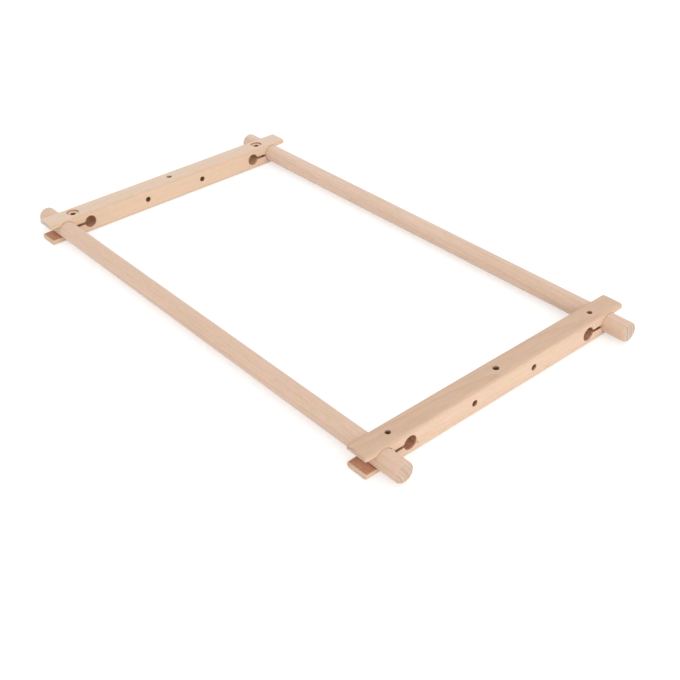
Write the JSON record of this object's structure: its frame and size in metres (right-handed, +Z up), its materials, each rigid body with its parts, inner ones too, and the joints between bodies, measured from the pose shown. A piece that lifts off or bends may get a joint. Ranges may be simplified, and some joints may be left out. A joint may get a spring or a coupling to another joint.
{
  "type": "cross-stitch frame",
  "caption": "Beech scroll frame for cross-stitch: round rollers seated in the split, drilled ends of two square side bars.",
  "frame": {"origin": "on the table, under the middle of the frame", "axes": "+X along the rollers from the left bar to the right bar, +Y along the side bars from the front roller to the back one, +Z up"},
  "size_m": [0.6, 0.33, 0.025],
  "materials": {
    "bar_beech": "planed and sanded pale beech, not varnished",
    "roller_beech": "turned and sanded pale beech, not varnished"
  },
  "bodies": {
    "left_side_bar": {"left_side_bar": "bar_beech"},
    "right_side_bar": {"right_side_bar": "bar_beech"},
    "front_roller": {"front_roller": "roller_beech"},
    "back_roller": {"back_roller": "roller_beech"}
  },
  "joints": [
    {"name": "front_roller_turn", "type": "hinge", "parent": "left_side_bar", "child": "front_roller", "pos_m": [-0.2635, -0.145, 0.0125], "axis": [1, 0, 0], "continuous": true},
    {"name": "back_roller_turn", "type": "hinge", "parent": "left_side_bar", "child": "back_roller", "pos_m": [-0.2635, 0.145, 0.0125], "axis": [1, 0, 0], "continuous": true},
    {"name": "right_bar_slide", "type": "slide", "parent": "left_side_bar", "child": "right_side_bar", "axis": [1, 0, 0], "range_m": [-0.5025, 0.0245]}
  ]
}
